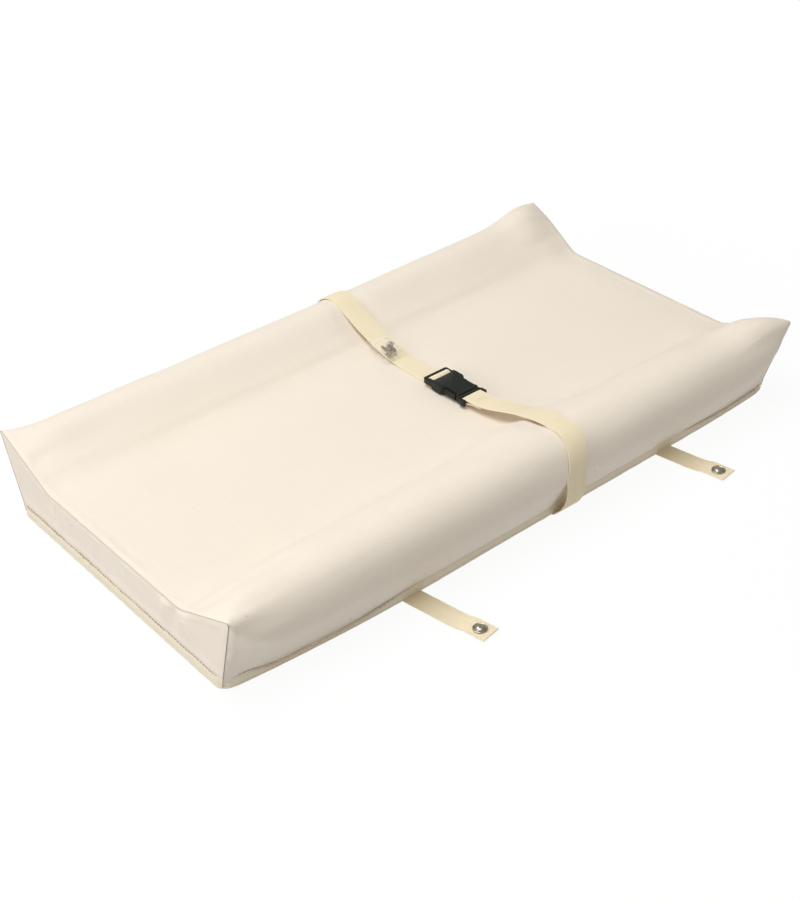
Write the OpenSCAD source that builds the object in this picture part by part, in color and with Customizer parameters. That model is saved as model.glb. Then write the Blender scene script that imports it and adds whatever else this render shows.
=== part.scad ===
// Contoured changing pad with a safety belt and two anchor straps.
// Millimetres, +Z up. Origin: middle of the underside. +X runs along the pad, +Y to its far long side.

/* [Pad] */
// Length over the end panels
pad_length = 800; // [700:10:900]
// Half the width of the base at its corners
base_half_width = 196; // [180:1:205]
// How far each long side bows out at mid-length
side_bow = 9; // [0:1:14]
// Height of the lying surface above the floor
trough_height = 61.6; // [50:0.2:66]
// Half the width of the flat lying surface
trough_half_width = 129; // [110:1:140]
// Length over which each bolster sharpens towards its end seam
bolster_taper = 70; // [40:5:120]

/* [Bolster] */
// Sideways place of the rounded bolster's centre at mid-length
hump_y = 196; // [190:1:200]
// Height of the rounded bolster's centre at mid-length
hump_z = 66; // [62:1:70]
// Radius of the rounded bolster at mid-length
hump_r = 34; // [28:1:36]
// Sideways place of the sewn corner's centre at the ends
corner_y = 216.5; // [208:0.5:220]
// Height of the sewn corner's centre at the ends
corner_z = 96.5; // [90:0.5:100]
// Radius of the sewn corner at the ends
corner_r = 4; // [3.5:0.5:8]

/* [Cover] */
// Thickness of the cotton cover
cover_t = 1.7; // [1.2:0.1:1.9]
// Thickness of the waterproof liner under the cover
liner_t = 0.7; // [0.6:0.1:0.8]
// Gap between the layers
layer_gap = 0.3; // [0.25:0.05:0.35]
// Height of the bound seam round the base
binding_h = 11; // [8:0.5:14]
// Thickness of the bound seam
binding_t = 3; // [2:0.5:4]

/* [Belt] */
// Width of the belt webbing
belt_w = 28; // [25:0.5:30]
// Thickness of all the webbing
web_t = 1.4; // [1.2:0.1:1.5]
// Place of the belt's middle along the pad
belt_x = 57; // [40:1:70]
// Length of each belt end that is sewn under the pad
belt_root = 70; // [50:5:90]

/* [Buckle] */
// Width of the buckle over its shoulders
buckle_w = 36; // [35:0.5:37]
// Thickness of the buckle
buckle_t = 11.4; // [11.2:0.1:12]

/* [Anchor straps] */
// Width of the anchor webbing
anchor_w = 25; // [22:0.5:28]
// Length of each anchor strap that is sewn under the pad
anchor_root = 60; // [40:5:80]
// Diameter of the snap's domed cap
cap_d = 16; // [14:0.5:18]
// Radius of the snap socket's hole
snap_r = 3.9; // [3.7:0.1:4]
// Depth of the snap socket's hole
snap_depth = 2.6; // [2:0.1:2.8]

/* [Hardware packet] */
// Width, length and height of the packet
packet = [32, 42, 13];
// Place of the packet's middle on the belt
packet_y = 99; // [98:1:102]

/* [Hidden] */
$fn = 48;

cotton = [0.97, 0.94, 0.87];
webbing = [0.93, 0.87, 0.73];
foam = [0.98, 0.96, 0.82];
plastic = [0.16, 0.17, 0.16];
nickel = [0.75, 0.75, 0.73];
film = [0.9, 0.93, 0.95];
thread = [0.9, 0.85, 0.72];

half_length = pad_length / 2;
liner_depth = cover_t + layer_gap;
core_depth = liner_depth + liner_t + layer_gap;
arc_steps = 14;
taper_steps = 8;
side_steps = 6;

// ---- The pad's outline: plan width, bolster circle and cross-section at any place x along the pad ----

function mix(a, b, t) = a + (b - a) * t;
function smooth01(t) = t <= 0 ? 0 : t >= 1 ? 1 : t * t * (3 - 2 * t);
function base_y(x) = base_half_width + side_bow * (1 - pow(abs(x) / half_length, 4));
function fullness(x) = smooth01((half_length - abs(x)) / bolster_taper);
function bolster(x) = let(t = fullness(x))
    [mix(corner_y, hump_y, t), mix(corner_z, hump_z, t), mix(corner_r, hump_r, t)];

// Angle at which the line from p touches the circle at (c[0], c[1]) with radius r; side is 1 or -1
function touch(p, c, r, side) =
    atan2(p[1] - c[1], p[0] - c[0]) + side * acos(r / norm([p[0] - c[0], p[1] - c[1]]));
function on_circle(c, r, a) = [c[0] + r * cos(a), c[1] + r * sin(a)];

// Foot of the bolster's inner slope, and top of the bound seam, both moved inwards by depth d
function slope_foot(d) = [trough_half_width + 0.27 * d, trough_height - d];
function seam_top(x, d) = [base_y(x) - d, binding_h];
function slope_angle(x, d) = let(c = bolster(x), a = touch(slope_foot(d), c, c[2] - d, -1))
    a < 0 ? a + 360 : a;
function side_angle(x, d) = let(c = bolster(x)) touch(seam_top(x, d), c, c[2] - d, 1);

// Half of the cross-section, from the middle of the trough out and down to the height z_low
function half_section(x, d, z_low) = let(c = bolster(x), a0 = slope_angle(x, d), a1 = side_angle(x, d),
        low = on_circle(c, c[2] - d, a1))
    concat([slope_foot(d)],
        [for (k = [0:arc_steps]) on_circle(c, c[2] - d, mix(a0, a1, k / arc_steps))],
        [for (k = [1:side_steps]) mix(low, seam_top(x, d), k / side_steps)],
        [[base_y(x) - d, z_low]]);
function flip(points) = [for (k = [len(points) - 1:-1:0]) [-points[k][0], points[k][1]]];
function full_section(x, d, z_low) = concat(flip(half_section(x, d, z_low)), half_section(x, d, z_low));

// Outermost half width of the section at height z
function side_y(x, z, d) = let(c = bolster(x), a = side_angle(x, d), q = on_circle(c, c[2] - d, a),
        p = seam_top(x, d))
    z <= binding_h ? p[0]
    : z < q[1] ? mix(p[0], q[0], (z - p[1]) / (q[1] - p[1]))
    : c[0] + sqrt(pow(c[2] - d, 2) - pow(z - c[1], 2));

// Places along the pad where the section is drawn, out to half length h; all layers share the inner ones
function stations(h) = concat([-h],
    [for (k = [1:taper_steps]) -half_length + bolster_taper * k / taper_steps], [for (k = [-2:2]) k * 110],
    [for (k = [taper_steps:-1:1]) half_length - bolster_taper * k / taper_steps], [h]);

// Triangles that close the first (up = 0) or last section, by rungs between its two halves
function end_cap(n, first, up) = [for (j = [0:n / 2 - 2]) let(a = first + j, b = first + n - 1 - j)
    for (f = [[a, a + 1, b], [a + 1, b - 1, b]]) up ? f : [f[2], f[1], f[0]]];

// Skin through equal closed sections, one at each place in xs; sections[i] is a list of [y, z].
// A section has 1, 2 or 4 runs that go in turn towards and away from the trough, and each face is split
// from its trough side to its base side, so that layers inside each other are split alike.
module loft(xs, sections, runs) {
    n = len(sections[0]);
    m = len(xs);
    points = [for (i = [0:m - 1]) for (q = sections[i]) [xs[i], q[0], q[1]]];
    sides = [for (i = [0:m - 2]) for (j = [0:n - 1]) let(a = i * n + j, b = i * n + (j + 1) % n,
            outward = runs == 1 || floor(j * runs / n) % 2 == 1)
        for (f = outward ? [[a, b, b + n], [a, b + n, a + n]] : [[a, b, a + n], [b, b + n, a + n]]) f];
    polyhedron(points, concat(sides, end_cap(n, 0, false), end_cap(n, (m - 1) * n, true)));
}

// A layer of the pad between two depths, open along the base
module layer(d_out, d_in, h, z_low) {
    xs = stations(h);
    loft(xs, [for (x = xs) let(inner = full_section(x, d_in, z_low))
        concat(full_section(x, d_out, z_low), [for (k = [len(inner) - 1:-1:0]) inner[k]])], 4);
}

// Draws a [y, z] outline in the upright plane and runs it along X for length w, about x
module along_x(x, w) {
    translate([x - w / 2, 0, 0]) rotate([90, 0, 90]) linear_extrude(w) children();
}

// ---- Foam core ----

core_low = cover_t + layer_gap;
split_z = trough_height - core_depth;

module foam_slab() {
    xs = stations(half_length - core_depth);
    heights = [for (k = [0:6]) mix(binding_h, split_z, k / 6)];
    color(foam) loft(xs, [for (x = xs) let(half = concat(
            [for (k = [6:-1:0]) [side_y(x, heights[k], core_depth), heights[k]]],
            [[base_y(x) - core_depth, core_low]]))
        concat(flip(half), half)], 2);
}

// Bolster wedge standing on the slab along one long side; side is 1 (far) or -1 (near)
module foam_wedge(side) {
    xs = stations(half_length - core_depth);
    foot = slope_foot(core_depth)[0];
    z_foot = split_z + layer_gap;
    color(foam) mirror([0, side < 0 ? 1 : 0, 0]) loft(xs, [for (x = xs) let(c = bolster(x),
            r = c[2] - core_depth, a0 = slope_angle(x, core_depth))
        concat([[foot + 0.4, z_foot]],
            [for (k = [0:8]) on_circle(c, r, a0 * (1 - k / 8))],
            [for (k = [1:4]) let(z = mix(c[1], z_foot, k / 4)) [side_y(x, z, core_depth), z]])], 1);
}

// ---- Cover ----

module waterproof_liner() {
    color(film) layer(liner_depth, liner_depth + liner_t, half_length - core_depth, core_low);
}

module cover_top_panel() {
    color(cotton) layer(0, cover_t, half_length - cover_t - layer_gap, core_low);
}

// One end panel; side is 1 (right) or -1 (left)
module cover_end(side) {
    color(cotton) along_x(side * (half_length - cover_t / 2), cover_t)
        polygon(full_section(half_length, 0, core_low));
}

// Plan of the base, grown by e, with corners of radius r
function base_plan(e, r) = let(cx = half_length + e - r, cy = base_half_width + e - r)
    concat([for (a = [0:15:90]) [cx + r * cos(a), cy + r * sin(a)]],
        [for (k = [7:-1:-7]) let(x = cx * k / 8) [x, base_y(x) + e]],
        [for (a = [90:15:180]) [-cx + r * cos(a), cy + r * sin(a)]],
        [for (a = [180:15:270]) [-cx + r * cos(a), -cy + r * sin(a)]],
        [for (k = [-7:7]) let(x = cx * k / 8) [x, -base_y(x) - e]],
        [for (a = [270:15:360]) [cx + r * cos(a), -cy + r * sin(a)]]);
plan_corner = 5;

// Room under the base for the sewn ends of the belt and the anchor straps
module root_pockets() {
    depth = web_t + layer_gap;
    for (side = [-1, 1])
        translate([belt_x - belt_w / 2 - 0.3, side > 0 ? belt_end_y - 0.3 : -belt_end_y - 100, -1])
            cube([belt_w + 0.6, 100.3, depth + 1]);
    for (s = anchors) anchor_place(s) translate([-anchor_w / 2 - 0.3, -anchor_gap - 8, -1])
        cube([anchor_w + 0.6, anchor_root + 8.6 + anchor_gap, depth + 1]);
}

module cover_bottom_panel() {
    color(cotton) difference() {
        linear_extrude(cover_t) polygon(base_plan(0, plan_corner));
        root_pockets();
    }
}

module base_binding() {
    color(cotton) difference() {
        linear_extrude(binding_h) difference() {
            polygon(base_plan(binding_t, plan_corner + binding_t));
            polygon(base_plan(layer_gap, 0.01));
        }
        root_pockets();
    }
}

// ---- Belt ----

belt_end_y = base_y(belt_x) - belt_root;
belt_low = web_t / 2;
lie = web_t / 2 + 0.3;
belt_r = hump_r + lie;
hump = [hump_y, hump_z];
base_out = base_y(belt_x) + binding_t + lie;
trough_lie = trough_height + lie;

// Smooth curve through points, with n steps between each two
function spline(p, n) = let(m = len(p) - 1) concat([for (i = [0:m - 1]) for (k = [0:n - 1])
    let(t = k / n, a = p[max(i - 1, 0)], b = p[i], c = p[i + 1], d = p[min(i + 2, m)])
    0.5 * ((2 * b) + (c - a) * t + (2 * a - 5 * b + 4 * c - d) * t * t
        + (3 * b - a - 3 * c + d) * t * t * t)], [p[m]]);

// The same curve, kept from dipping under the floor
function spline_on_floor(p, n) = [for (q = spline(p, n)) [q[0], max(q[1], belt_low)]];

// Outline of webbing of thickness t whose middle follows the points p
function web_normal(p, i) = let(a = p[max(i - 1, 0)], b = p[min(i + 1, len(p) - 1)], d = b - a)
    [-d[1], d[0]] / norm(d);
function web_outline(p, t) = concat([for (i = [0:len(p) - 1]) p[i] + web_normal(p, i) * t / 2],
    [for (i = [len(p) - 1:-1:0]) p[i] - web_normal(p, i) * t / 2]);

// The belt's two routes over the pad, as [y, z], from the buckle outwards and in under the base
far_route = concat([[3, trough_lie], [30, trough_lie], [60, trough_lie], [76, 63.6], [100, 68], [125, 75],
    [150, 84], [168, 91.5]],
    [for (a = [118:-16:-26]) on_circle(hump, belt_r, a)],
    [[220, 33], [base_out + 1.6, 14], [base_out + 0.3, 8], [base_out, 3.4], [base_out - 0.1, 1.8],
    [base_out - 0.4, 1], [base_out - 1.2, belt_low], [base_out - 3, belt_low], [base_out - 12, belt_low],
    [base_out - 35, belt_low], [belt_end_y, belt_low]]);
near_route = concat([[56, 71.9], [70, 72.2], [90, 73.6], [112, 77.5], [140, 86.5], [164, 94.6]],
    [for (a = [112:-14:-14]) on_circle(hump, belt_r, a)],
    [[231, 44], [230, 28], [226, 14], [219.5, 5], [212, 1.5], [204, belt_low], [185, belt_low],
    [160, belt_low], [belt_end_y, belt_low]]);

tack = [18, 8, 0.4];

// Thread patches set into the webbing, centred half way along each sewn end
module tack_set(grow) {
    for (side = [-1, 1])
        translate([belt_x, side * (belt_end_y + 14), 0]) tack_patch(grow);
    for (s = anchors) anchor_place(s) translate([0, anchor_root - 8, 0]) tack_patch(grow);
}
module tack_patch(grow) {
    translate([-tack[0] / 2 - grow, -tack[1] / 2 - grow, -grow * 10])
        cube([tack[0] + 2 * grow, tack[1] + 2 * grow, tack[2] + 11 * grow]);
}

module belt_far() {
    color(webbing) difference() {
        along_x(belt_x, belt_w) polygon(web_outline(spline_on_floor(far_route, 3), web_t));
        tack_set(0.05);
    }
}

// The near half ends in a loop: the webbing goes round the plug's bar and is folded back under itself
module belt_near() {
    loop = [for (a = [-75:-15:-285]) [plug_bar_y, buckle_z] + (plug_bar_r + 0.1 + web_t / 2) * [cos(a), sin(a)]];
    fold = [[76, 70.7], [70, 70.5], [64, 70], [57, 68.2], [52, 67.1]];
    color(webbing) difference() {
        along_x(belt_x, belt_w) mirror([1, 0])
            polygon(web_outline(concat(spline(concat(fold, [loop[0]]), 3), [for (k = [1:13]) loop[k]],
                spline_on_floor(concat([loop[14]], near_route), 3)), web_t));
        tack_set(0.05);
    }
}

module plug_loop_stitch() {
    color(thread) translate([belt_x - 10, -69, 72.4 + web_t / 2]) cube([20, 9, 0.4]);
}

module bar_tacks() {
    color(thread) tack_set(0);
}

// ---- Buckle: the halves lie flat in the trough, the socket towards the far side ----

buckle_low = trough_lie + lie;
buckle_z = buckle_low + buckle_t / 2;
half_w = buckle_w / 2;
tail_y = 17;
mouth_y = -42;
shoulder_y = -15;
lock_y = -37;
socket_bar_y = 7.5;
socket_bar_r = 1.9;
plug_bar_y = 48.5;
plug_bar_r = 1.6;
channel = [12.4, 3.8];
waist = 14;
prong_root = [10.5, -40.7];

// Places its children at the belt's middle and the buckle's mid height
module at_buckle() {
    translate([belt_x, 0, buckle_z]) children();
}
// A plate drawn in plan, t thick about the buckle's mid height
module plate(t) {
    translate([0, 0, -t / 2]) linear_extrude(t) children();
}
// Round bar across the buckle at y, w long
module cross_bar(y, r, w) {
    translate([-w / 2, y, 0]) rotate([0, 90, 0]) cylinder(r = r, h = w);
}

module socket_plan() {
    side = [[half_w - 1.5, tail_y], [half_w - 0.3, tail_y - 2], [half_w - 0.5, 2], [half_w, -2],
        [half_w, shoulder_y + 2], [half_w - 1, shoulder_y], [waist, shoulder_y - 4.5], [waist - 0.3, -26],
        [waist, lock_y], [waist + 1, mouth_y + 1], [waist + 1, mouth_y]];
    polygon(concat(side, [for (k = [len(side) - 1:-1:0]) [-side[k][0], side[k][1]]]));
}

module buckle_socket() {
    window_top = 14;
    window_low = 1.2;
    color(plastic) at_buckle() {
        difference() {
            plate(buckle_t) socket_plan();
            plate(channel[1] * 2) translate([-channel[0], mouth_y - 1]) square([channel[0] * 2, 42.5]);
            for (side = [-1, 1]) plate(channel[1] * 2) mirror([side < 0 ? 1 : 0, 0])
                translate([channel[0] - 1, lock_y]) square([10, shoulder_y - 2 - lock_y]);
            plate(buckle_t + 2) translate([-14.4, window_low]) square([28.8, window_top - window_low]);
            for (z = [-1, 1]) translate([-25, window_low + 1.8, z > 0 ? 3.4 : -buckle_t / 2 - 1])
                cube([50, 30, buckle_t / 2 - 2.4]);
        }
        cross_bar(socket_bar_y, socket_bar_r, 29.2);
    }
}

// Turn of the belt's webbing round the socket's adjusting bar
module adjuster_loop() {
    color(webbing) along_x(belt_x, belt_w - 1) translate([socket_bar_y, buckle_z]) difference() {
        circle(socket_bar_r + 0.1 + web_t);
        circle(socket_bar_r + 0.1);
    }
}

module buckle_plug() {
    flange_y = mouth_y - 0.8;
    color(plastic) at_buckle() {
        plate(8.6) translate([-15, flange_y - 2.2]) square([30, 2.2]);
        for (side = [-1, 1]) mirror([side < 0 ? 1 : 0, 0, 0]) plate(7)
            polygon([[14.3, flange_y], [15, flange_y], [18, flange_y - 4], [18.4, -53], [17.4, -55], [15.4, -55],
                [14.3, -53.6]]);
        cross_bar(-plug_bar_y, plug_bar_r, 29);
        plate(3.6) polygon([[-2.6, flange_y - 0.1], [-2.6, -8], [-1.4, -4], [1.4, -4], [2.6, -8],
            [2.6, flange_y - 0.1]]);
    }
}

// Springy arm with a thumb pad; side is 1 (right) or -1 (left)
module prong(side) {
    inner = 8.9;
    color(plastic) at_buckle() mirror([side < 0 ? 1 : 0, 0, 0]) plate(7) {
        translate(prong_root) circle(1.6);
        polygon([[inner, prong_root[1]], [12.1, prong_root[1]], [12.1, lock_y + 0.4], [15.4, lock_y + 0.4],
            [16.4, -33], [15.8, -28], [16.2, -23], [17, -19.4], [15.6, -18], [10.4, -18], [inner, -20]]);
    }
}

// ---- Anchor straps: each entry is [x of the root, slant in degrees, free length] ----

anchors = [[-173, 9.5, 106], [213, 9, 86]];
anchor_gap = 1.2;
snap_inset = 14;
hinge_r = web_t / 2;

// Hinge line of a strap: just outside the bound seam, at half the webbing's height
function hinge_y(s) = -(base_y(s[0]) + binding_t + anchor_gap);
module anchor_place(s) {
    translate([s[0], hinge_y(s), 0]) rotate([0, 0, s[1]]) children();
}
module snap_place(s) {
    anchor_place(s) translate([0, -s[2] + snap_inset, 0]) children();
}
snap_lift = 3;

module anchor_root_part(s) {
    color(webbing) difference() {
        intersection() {
            anchor_place(s) translate([-anchor_w / 2, -10, 0]) cube([anchor_w, anchor_root + 10, web_t]);
            translate([s[0] - 100, hinge_y(s) + hinge_r + 0.3, -1]) cube([200, 200, 10]);
        }
        tack_set(0.05);
    }
}

// Free stretch: flat on the floor, then lifted at its end by the snap underneath
module anchor_strap_part(s) {
    free = s[2];
    high = snap_lift + hinge_r;
    route = [[0, hinge_r], [-20, hinge_r], [50 - free, hinge_r], [36 - free, 1.8],
        [26 - free, high], [12 - free, high], [-12 - free, high]];
    color(webbing) difference() {
        intersection() {
            along_x(s[0], 200) translate([hinge_y(s), 0])
                polygon(web_outline(spline_on_floor(route, 4), web_t));
            anchor_place(s) translate([-anchor_w / 2, -s[2], -1]) cube([anchor_w, s[2] + 10, 12]);
        }
        snap_place(s) cylinder(r = 2.2, h = 10);
    }
}

module snap_cap_part(s) {
    r = cap_d / 2;
    z = snap_lift + web_t + 0.2;
    dome_h = 3;
    dome_r = (r * r + dome_h * dome_h) / (2 * dome_h);
    rise = asin(r / dome_r);
    color(nickel) snap_place(s) {
        translate([0, 0, z]) rotate_extrude() polygon(concat([[0, 0], [r - 0.4, 0], [r, 0.3]],
            [for (k = [6:-1:0]) [dome_r * sin(rise * k / 7), 0.3 + dome_h - dome_r * (1 - cos(rise * k / 7))]]));
        translate([0, 0, snap_lift + 0.1]) cylinder(r = 2, h = web_t + 0.4);
    }
}

module snap_socket_part(s) {
    color(nickel) snap_place(s) difference() {
        union() {
            cylinder(r = 5.6, h = snap_lift);
            translate([0, 0, snap_lift - 0.9]) cylinder(r = 6.6, h = 0.9);
        }
        translate([0, 0, -1]) cylinder(r = snap_r, h = snap_depth + 1);
    }
}

// ---- Hardware packet: a clear bag on the belt's slope with two snap studs on wood screws ----

packet_tilt = 15.5;
packet_z = 70.4;

module at_packet() {
    translate([belt_x, packet_y, packet_z]) rotate([packet_tilt, 0, 0]) children();
}

// Pillow: flat sealed rim with a crowned middle
module pillow(shrink) {
    hull() {
        translate([0, 0, 1]) cube([packet[0] - 2 * shrink, packet[1] - 2 * shrink, 0.6 - shrink], center = true);
        translate([0, 0, 0.4 + shrink]) cube([24, 33, 0.01], center = true);
        translate([0, 0, packet[2] - shrink]) cube([17, 26, 0.01], center = true);
    }
}

module hardware_packet() {
    color(film, 0.4) at_packet() difference() {
        pillow(0);
        pillow(0.3);
    }
}

// Stud of a snap on a wood screw, lying on its side; the screw points along +Y
module screw_stud() {
    color(nickel) rotate([-90, 0, 0]) rotate_extrude() polygon([[0, -3.8], [3, -3.8], [3.8, -3.2], [3.4, -2],
        [3.6, -1.2], [5.2, -1.2], [5.4, -0.8], [5.2, 0], [2.2, 0], [2, 1], [2, 10], [0, 13]]);
}
module screw_stud_a() {
    at_packet() translate([-4.6, -4.6, 6.1]) rotate([0, 0, 8]) screw_stud();
}
module screw_stud_b() {
    at_packet() translate([4.4, 4.4, 6.2]) rotate([0, 0, 176]) screw_stud();
}

foam_slab();
foam_wedge(-1);  // foam_wedge_near
foam_wedge(1);  // foam_wedge_far
waterproof_liner();
cover_top_panel();
cover_end(-1);  // cover_end_left
cover_end(1);  // cover_end_right
cover_bottom_panel();
base_binding();
belt_far();
belt_near();
plug_loop_stitch();
bar_tacks();
buckle_socket();
adjuster_loop();
buckle_plug();
prong(-1);  // prong_left
prong(1);  // prong_right
anchor_root_part(anchors[0]);  // anchor_root_left
anchor_root_part(anchors[1]);  // anchor_root_right
anchor_strap_part(anchors[0]);  // anchor_strap_left
anchor_strap_part(anchors[1]);  // anchor_strap_right
snap_cap_part(anchors[0]);  // snap_cap_left
snap_cap_part(anchors[1]);  // snap_cap_right
snap_socket_part(anchors[0]);  // snap_socket_left
snap_socket_part(anchors[1]);  // snap_socket_right
hardware_packet();
screw_stud_a();
screw_stud_b();
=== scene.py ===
import math

import bmesh
import bpy
import numpy as np
from mathutils import Matrix, Vector, kdtree, noise


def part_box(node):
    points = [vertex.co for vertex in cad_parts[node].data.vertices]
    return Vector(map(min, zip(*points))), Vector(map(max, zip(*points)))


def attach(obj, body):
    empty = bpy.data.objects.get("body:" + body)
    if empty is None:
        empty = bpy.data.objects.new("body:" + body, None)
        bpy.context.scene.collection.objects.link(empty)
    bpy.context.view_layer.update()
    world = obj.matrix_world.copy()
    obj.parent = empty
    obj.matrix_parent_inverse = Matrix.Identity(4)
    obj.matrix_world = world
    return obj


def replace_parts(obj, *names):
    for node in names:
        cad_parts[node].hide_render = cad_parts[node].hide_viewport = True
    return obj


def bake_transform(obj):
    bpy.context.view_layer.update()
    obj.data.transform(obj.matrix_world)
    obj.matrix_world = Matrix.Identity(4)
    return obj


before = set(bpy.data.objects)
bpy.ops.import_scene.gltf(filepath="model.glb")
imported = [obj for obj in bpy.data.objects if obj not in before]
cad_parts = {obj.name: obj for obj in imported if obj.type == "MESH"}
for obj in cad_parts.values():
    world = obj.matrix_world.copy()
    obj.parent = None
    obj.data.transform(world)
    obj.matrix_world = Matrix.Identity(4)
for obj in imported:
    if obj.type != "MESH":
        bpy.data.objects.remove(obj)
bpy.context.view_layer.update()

# ---------------------------------------------------------------------------------------------------
# Camera: a standing look down over the pad's near left corner, with a little roll.
turn, tilt, roll = math.radians(-38.23), math.radians(34.66), math.radians(2.68)
aim, distance = Vector((0, 0, 0.04)), 1.88081
aside, lower = 0.01064, 0.03464
right = Vector((math.cos(turn), math.sin(turn), 0))
up = Vector((-math.sin(tilt) * math.sin(turn), math.sin(tilt) * math.cos(turn), math.cos(tilt)))
back = right.cross(up)
eye = aim + distance * back - aside * right - lower * up
camera = bpy.data.objects.new("camera", bpy.data.cameras.new("camera"))
bpy.context.scene.collection.objects.link(camera)
axes = Matrix((right * math.cos(roll) - up * math.sin(roll),
               right * math.sin(roll) + up * math.cos(roll), back)).transposed()
camera.matrix_world = Matrix.Translation(eye) @ axes.to_4x4()
camera.data.sensor_width = 36
camera.data.lens = 64.73
bpy.context.scene.camera = camera

# ---------------------------------------------------------------------------------------------------
# Studio: a pale sweep under the pad, one very large soft light overhead towards the left end, a weak one
# beyond that end, and an even surround, so that shadows stay short and soft.
bpy.context.scene.view_settings.view_transform = "Standard"


def surface(name, rough, color):
    """A new node material with its Principled shader; returns the material, its nodes, links and shader."""
    mat = bpy.data.materials.new(name)
    mat.use_nodes = True
    shader = mat.node_tree.nodes["Principled BSDF"]
    shader.inputs["Roughness"].default_value = rough
    shader.inputs["Base Color"].default_value = (*color, 1)
    mat.diffuse_color = (*color, 1)
    return mat, mat.node_tree.nodes, mat.node_tree.links, shader


def finished(name, bm, mat, sharp=None):
    """Turns a bmesh into an object at the origin, smooth but for edges over sharp degrees."""
    mesh = bpy.data.meshes.new(name)
    bm.to_mesh(mesh)
    bm.free()
    for face in mesh.polygons:
        face.use_smooth = True
    for one in mat if isinstance(mat, list) else [mat]:
        mesh.materials.append(one)
    if sharp:
        mesh.set_sharp_from_angle(angle=math.radians(sharp))
    piece = bpy.data.objects.new(name, mesh)
    bpy.context.scene.collection.objects.link(piece)
    return piece


floor_mat, nodes, links, floor_shader = surface("pale_sweep", 0.9, (0.07, 0.07, 0.07))
floor_shader.inputs["Specular IOR Level"].default_value = 0.1
where = nodes.new("ShaderNodeTexCoord").outputs["Object"]
reach = nodes.new("ShaderNodeVectorMath")
reach.operation = "LENGTH"
links.new(where, reach.inputs[0])
glow = nodes.new("ShaderNodeMapRange")
for socket, value in (("From Min", 0.5), ("From Max", 1.7), ("To Min", 0.935), ("To Max", 0.98)):
    glow.inputs[socket].default_value = value
links.new(reach.outputs["Value"], glow.inputs["Value"])
# The sweep is seen nearly white, but casts less light than that on the pad.
seen_or_cast = nodes.new("ShaderNodeMix")
seen_or_cast.data_type = "FLOAT"
seen_or_cast.inputs[2].default_value = 0.62
links.new(nodes.new("ShaderNodeLightPath").outputs["Is Camera Ray"], seen_or_cast.inputs[0])
links.new(glow.outputs[0], seen_or_cast.inputs[3])
links.new(seen_or_cast.outputs[0], floor_shader.inputs["Emission Strength"])
floor_shader.inputs["Emission Color"].default_value = (0.985, 0.99, 0.985, 1)
bm = bmesh.new()
bmesh.ops.create_grid(bm, x_segments=4, y_segments=4, size=6)
studio_floor = finished("studio_floor", bm, floor_mat)

world = bpy.data.worlds.new("surround")
bpy.context.scene.world = world
world.use_nodes = True
world.node_tree.nodes["Background"].inputs["Color"].default_value = (1, 0.99, 0.91, 1)
world.node_tree.nodes["Background"].inputs["Strength"].default_value = 0.36


def soft_light(name, width, depth, watts, color, spot, target):
    """A large rectangular light that faces its target."""
    light = bpy.data.objects.new(name, bpy.data.lights.new(name, "AREA"))
    light.data.shape = "RECTANGLE"
    light.data.size, light.data.size_y = width, depth
    light.data.energy, light.data.color = watts, color
    light.location = spot
    light.rotation_euler = (Vector(target) - light.location).to_track_quat("-Z", "Y").to_euler()
    bpy.context.scene.collection.objects.link(light)


soft_light("overhead", 2.4, 0.9, 33.5, (0.99, 1, 1), (-0.36, 0.24, 2.1), (0.1, 0, 0))
soft_light("end_fill", 1.2, 1.2, 16, (0.98, 0.98, 1), (-2.2, 0.1, 0.7), (-0.4, 0, 0.05))

# ---------------------------------------------------------------------------------------------------
# Cover: unbleached cotton cut as a top panel that wraps both bolsters, two end panels with a
# trough-shaped top edge, and a flat bottom panel. All four are sewn together inside out, turned and
# pulled tight over the foam, so the seams pull in and the cloth between them stands a little proud.
base_box, top_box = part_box("cover_bottom_panel"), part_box("cover_top_panel")
half_length = base_box[1].x
side_bow = 0.009
corner_width = base_box[1].y - side_bow
trough_height, foot_y = 0.0616, 0.129
bolster_taper = 0.062
seam_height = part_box("base_binding")[1].z
hem_height, base_lift = 0.0035, 0.0006
hump_r = 0.034
hump = Vector((top_box[1].y - hump_r, top_box[1].z - 0.0005 - hump_r))
peak = Vector((0.2184, 0.0974))
peak_r = 0.0026
fine_steps = [0, 0.0012, 0.0026, 0.0045, 0.0075, 0.012, 0.018]


def mix(a, b, t):
    return a + (b - a) * t


def ease(t):
    t = min(max(t, 0), 1)
    return t * t * (3 - 2 * t)


def bell(value, middle, width):
    """A smooth rise to 1 at middle; value may be an array."""
    return np.exp(-((value - middle) / width) ** 2)


def base_y(x, side):
    """Half the base's width; the near side is a little fuller towards the left."""
    lean = 0.003 * bell(x, -0.2, 0.12) - 0.001 * bell(x, 0.2, 0.15) if side < 0 else 0
    return corner_width + (side_bow + lean) * (1 - abs(x / half_length) ** 4)


def touch(point, centre, radius, side):
    """Angle at which the line from point touches a circle."""
    gap = point - centre
    return math.atan2(gap.y, gap.x) + side * math.acos(radius / gap.length)


def resample(points, shares):
    """Points at the given shares of a polyline's length."""
    points = np.array(points)
    runs = np.concatenate([[0], np.cumsum(np.linalg.norm(np.diff(points, axis=0), axis=1))])
    at = np.array(shares) * runs[-1]
    return np.stack([np.interp(at, runs, points[:, k]) for k in (0, 1)], axis=1)


trough_shares = [k / 18 for k in range(18)]
slope_shares = [k / 14 * 0.9 for k in range(14)] + [0.9, 0.94, 0.965, 0.98, 0.991]
side_shares = [0, 0.011, 0.025, 0.045, 0.075, 0.115] + [0.115 + 0.885 * k / 16 for k in range(1, 17)]


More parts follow.
